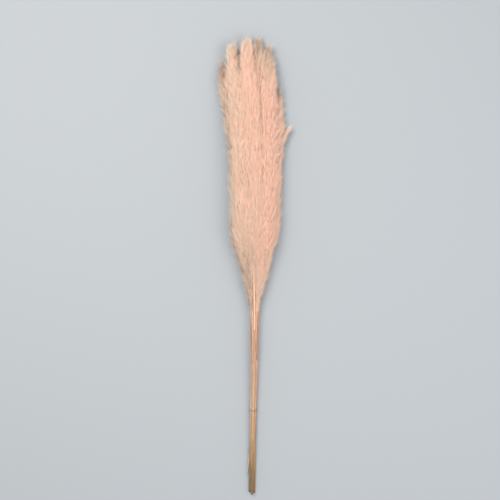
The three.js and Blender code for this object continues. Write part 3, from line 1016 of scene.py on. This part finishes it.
CULM_SHADES = [(0.02, UMBER), (0.16, OCHRE), (0.36, STRAW), (0.6, CULM_PEACH), (0.84, CULM_ROSE)]
SHEATH_SHADES = [(0.0, STRAW), (0.4, SHEATH_TAN), (0.8, SHADED)]
SKIN_SHADES = [(0.0, SHADED), (0.3, PITH), (0.8, BEIGE)]
culm_straw = straw_material("culm_straw", CULM_SHADES, 0.5)
sheath_paper = straw_material("sheath_paper", SHEATH_SHADES, 0.6, translucency=0.3)
pale_skin = straw_material("pale_skin", SKIN_SHADES, 0.6, translucency=0.3)
culm_pith = streaked_material("culm_pith", [(0.3, STRAW), (0.6, PITH)], 0.95, 2500, stretch=1, bump=0.5)

for number in range(1, 7):
    culm = make_culm(number)
    print(culm.name, "has", len(culm.data.polygons), "faces")

# %% [markdown]
# ## Leaf sheaths
# A grass leaf starts as a sheath that wraps the culm. Some are left on the dried stalks: papery, split down
# one side, with a torn, pointed end. Each is a grid bent round its culm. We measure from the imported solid
# how far round it goes, ripple its free edges, narrow it to a point and thicken it with Solidify.

# %% Measure how a thin node wraps its culm
WRAP_STATIONS = 24
SHEATH_THICKNESS = 0.22 * MM


def wrap_round(node, stem):
    """For stations along a sheath: y, the culm's middle, the two edge angles and the radius."""
    corners, edges = mesh_arrays(node)
    low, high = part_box(node)
    line, _ = middle_line(stem)
    rows = []
    for y in np.linspace(low.y + END_INSET, high.y - END_INSET, WRAP_STATIONS):
        cut = cut_across(corners, edges, y)
        middle = np.array([np.interp(y, line[:, 1], line[:, axis]) for axis in range(3)])
        away = (cut - middle)[:, [0, 2]]
        facing = math.atan2(away[:, 1].mean(), away[:, 0].mean())
        turned = (np.arctan2(away[:, 1], away[:, 0]) - facing + math.pi) % (2 * math.pi) - math.pi
        rows.append([y, *middle[[0, 2]], facing + turned.min(), facing + turned.max(),
                     np.linalg.norm(away, axis=1).mean()])
    wrap = np.array(rows)
    wrap[:, 3:5] = np.unwrap(wrap[:, 3:5], axis=0)
    return wrap


def wrap_at(wrap, y):
    """The culm's middle x and z, the two edge angles and the radius at one y."""
    return [np.interp(y, wrap[:, 0], wrap[:, column]) for column in range(1, 6)]


def make_sheet(name, node, material, columns, rows, place):
    """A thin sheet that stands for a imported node, its corners at place(across, up), across from -1 to 1."""
    sheet = bmesh.new()
    made = bmesh.ops.create_grid(sheet, x_segments=columns, y_segments=rows, size=0.5)["verts"]
    for corner in made:
        corner.co = place(corner.co.x * 2, corner.co.y + 0.5)
    bmesh.ops.recalc_face_normals(sheet, faces=sheet.faces)
    piece = finish_piece(name, sheet, [material], node)
    wall = piece.modifiers.new("thickness", "SOLIDIFY")
    wall.thickness = SHEATH_THICKNESS
    wall.offset = 0
    return piece


# %% Make the sheaths
SHEATHS = {"sheath_left": 1, "sheath_right": 6, "sheath_front": 3}
SHEATH_COLUMNS, SHEATH_ROWS = 18, 60
TORN_SHARE, TORN_CURVE, TORN_END = 0.22, 0.7, 0.03
FRAYS = [(0.05, 40), (0.03, 97)]
EDGE_LIFT = 0.25 * MM
GRIP_SHARE, SHEATH_GRIP = 0.12, 0.5 * MM
RIBS, RIB_HEIGHT = 14, 0.08 * MM
SHEATH_LOWEST = 0.3 * MM


def make_sheath(node, stem):
    wrap = wrap_round(node, f"stem_{stem}")
    rng = np.random.default_rng(400 + 10 * stem + len(node))
    phase = rng.uniform(0, 2 * math.pi, 4)
    low, high = wrap[0, 0], wrap[-1, 0]

    def place(across, up):
        torn = max(0, (up - 1 + TORN_SHARE) / TORN_SHARE)
        narrow = (1 - torn) ** TORN_CURVE * (1 - TORN_END) + TORN_END
        fray = 1 + sum(depth * math.sin(pitch * up + shift) for (depth, pitch), shift in zip(FRAYS, phase))
        y = low + (high - low) * up * (1 - 0.02 * abs(across) * math.sin(9 * across + phase[2]))
        x, z, start, end, radius = wrap_at(wrap, y)
        angle = (start + end) / 2 + (end - start) / 2 * across * narrow * fray
        ripple = math.sin(60 * y / (high - low) + 4 * across + phase[3]) * abs(across) ** 2
        lift = EDGE_LIFT * (ripple + torn) * min(1, up / GRIP_SHARE)
        tight = SHEATH_GRIP * max(0, 1 - up / GRIP_SHARE)
        reach = radius + lift - tight + RIB_HEIGHT * math.cos(RIBS * angle)
        return x + math.cos(angle) * reach, y, max(z + math.sin(angle) * reach, SHEATH_LOWEST)

    return make_sheet(f"{node}_paper", node, sheath_paper, SHEATH_COLUMNS, SHEATH_ROWS, place)


for node, stem in SHEATHS.items():
    print(make_sheath(node, stem).name, "wraps culm", stem)

# %% [markdown]
# ## The peeling strip
# Low on the left culm a strip of skin has come loose. It holds at its upper end, hangs away towards the
# cut, and has turned so that its pale inner side shows. It is a narrow grid along the middle of its imported
# solid. Its cross direction turns from round the culm to level as it comes away.

# %% The strip
STRIP_HALF_WIDTH = 1.25 * MM
STRIP_ROWS, STRIP_COLUMNS = 40, 4
STRIP_NARROWING = 0.75
STRIP_GRIP, STRIP_GRIP_SHARE = 0.4 * MM, 0.1
STRIP_TURN = 1.1
STRIP_CURL, STRIP_WAVE, STRIP_WAVES = 0.35 * MM, 0.3 * MM, 11
STRIP_LOWEST = 0.4 * MM


def make_strip(node, stem):
    wrap = wrap_round(node, stem)
    low, high = wrap[0, 0], wrap[-1, 0]

    def place(across, up):
        loose = 1 - up
        y = low + (high - low) * up
        x, z, start, end, radius = wrap_at(wrap, y)
        angle = (start + end) / 2
        reach = radius - STRIP_GRIP * max(0, up - 1 + STRIP_GRIP_SHARE) / STRIP_GRIP_SHARE
        turn = angle + math.pi / 2 - STRIP_TURN * min(1, 2 * loose)
        wide = STRIP_HALF_WIDTH * (1 - STRIP_NARROWING * loose ** 3) * across
        curl = STRIP_CURL * across ** 2 * loose
        wave = STRIP_WAVE * math.sin(STRIP_WAVES * loose)
        return (x + math.cos(angle) * (reach + wave) + math.cos(turn) * wide, y,
                max(z + math.sin(angle) * reach + math.sin(turn) * wide + curl, STRIP_LOWEST))

    return make_sheet(f"{node}_strip", node, pale_skin, STRIP_COLUMNS, STRIP_ROWS, place)


print(make_strip("sheath_peel", "stem_1").name, "hangs from culm 1")

# %% [markdown]
# ## The tie
# One thin wire with a painted, blue-grey skin holds the stalks together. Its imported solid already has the
# right route, so we copy it, merge its corners and let a subdivision surface round it. The paint is
# slightly worn: a noise lets a lighter metal tone through in specks.

# %% Wire piece and its material
WIRE_BLUE = linear(76, 85, 102)
WIRE_WORN = linear(168, 172, 180)
wire_paint = Finish("wire_paint", {"Roughness": 0.35, "Metallic": 0.6})
specks = wire_paint.streaks(700, 4, 0.5, stretch=1)
wire_paint.paint(wire_paint.ramp([(0.45, WIRE_BLUE), (0.7, WIRE_WORN)], specks))

wire = bmesh.new()
wire.from_mesh(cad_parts["tie_wire"].data)
bmesh.ops.remove_doubles(wire, verts=wire.verts, dist=1e-6)
bmesh.ops.recalc_face_normals(wire, faces=wire.faces)
tie = finish_piece("tie_wire_round", wire, [wire_paint.material], "tie_wire")
rounding = tie.modifiers.new("rounding", "SUBSURF")
rounding.levels = rounding.render_levels = 1
print("the tie has", len(tie.data.polygons), "faces before rounding")

# %% [markdown]
# ## Floor, light and camera
# The bunch lies on a plain pale floor, so wide that its edge stays far away in low views. Two large soft
# lamps and an even sky light it, warm from one side and cool from the other. The camera looks straight
# down from far off, which keeps the long bunch undistorted.

# %% Floor
FLOOR_GREY = linear(141, 144, 146)
FLOOR_WIDTH = 30
floor_mesh = bpy.data.meshes.new("floor")
plane = bmesh.new()
bmesh.ops.create_grid(plane, x_segments=1, y_segments=1, size=FLOOR_WIDTH / 2)
plane.to_mesh(floor_mesh)
plane.free()
add_object("floor", floor_mesh)
pale_floor = Finish("pale_floor", {"Roughness": 0.9, "Base Color": FLOOR_GREY})
floor_mesh.materials.append(pale_floor.material)
print("the floor is", FLOOR_WIDTH, "m wide")

# %% Light and camera
world = bpy.data.worlds.new("studio")
bpy.context.scene.world = world
world.use_nodes = True
sky = world.node_tree.nodes["Background"]
sky.inputs["Color"].default_value = (0.93, 0.96, 1.0, 1.0)
sky.inputs["Strength"].default_value = 1.0


def soft_light(name, place, size, power, colour):
    """A round lamp that points at the middle of the bunch."""
    lamp = bpy.data.lights.new(name, "AREA")
    lamp.shape = "DISK"
    lamp.size = size
    lamp.energy = power
    lamp.color = colour
    holder = add_object(name, lamp)
    holder.location = place
    holder.rotation_euler = (-Vector(place)).to_track_quat("-Z", "Y").to_euler()
    print(name, "stands", round(Vector(place).length, 2), "m away")


soft_light("key_light", (-0.9, 0.9, 2.2), 1.4, 63, (1.0, 0.97, 0.93))
soft_light("fill_light", (1.3, -0.4, 2.2), 1.8, 40, (0.95, 0.97, 1.0))

CAMERA_HEIGHT = 2.6
CAMERA_ABOVE = (-0.0098, 0.0438)
PLUME_MIDDLE_HEIGHT = 0.03
PICTURE_WIDTH = 1.2
SENSOR = 36.0
lens = bpy.data.cameras.new("camera")
lens.sensor_width = SENSOR
lens.lens = SENSOR * CAMERA_HEIGHT / PICTURE_WIDTH
camera = add_object("camera", lens)
camera.location = (*CAMERA_ABOVE, CAMERA_HEIGHT + PLUME_MIDDLE_HEIGHT)
bpy.context.scene.camera = camera
bpy.context.scene.view_settings.view_transform = "Standard"
print("the lens is", round(lens.lens), "mm long")

# %% [markdown]
# ## Count the triangles
# The hairs may stand a little proud of the imported solids. The last line counts the triangles of all the
# shown meshes.

# %% Triangles in all
pieces = [thing for thing in bpy.data.objects if thing.type == "MESH" and not thing.hide_render]
corners = sum(len(thing.data.loops) for thing in pieces)
faces = sum(len(thing.data.polygons) for thing in pieces)
print("triangles in all:", corners - 2 * faces)
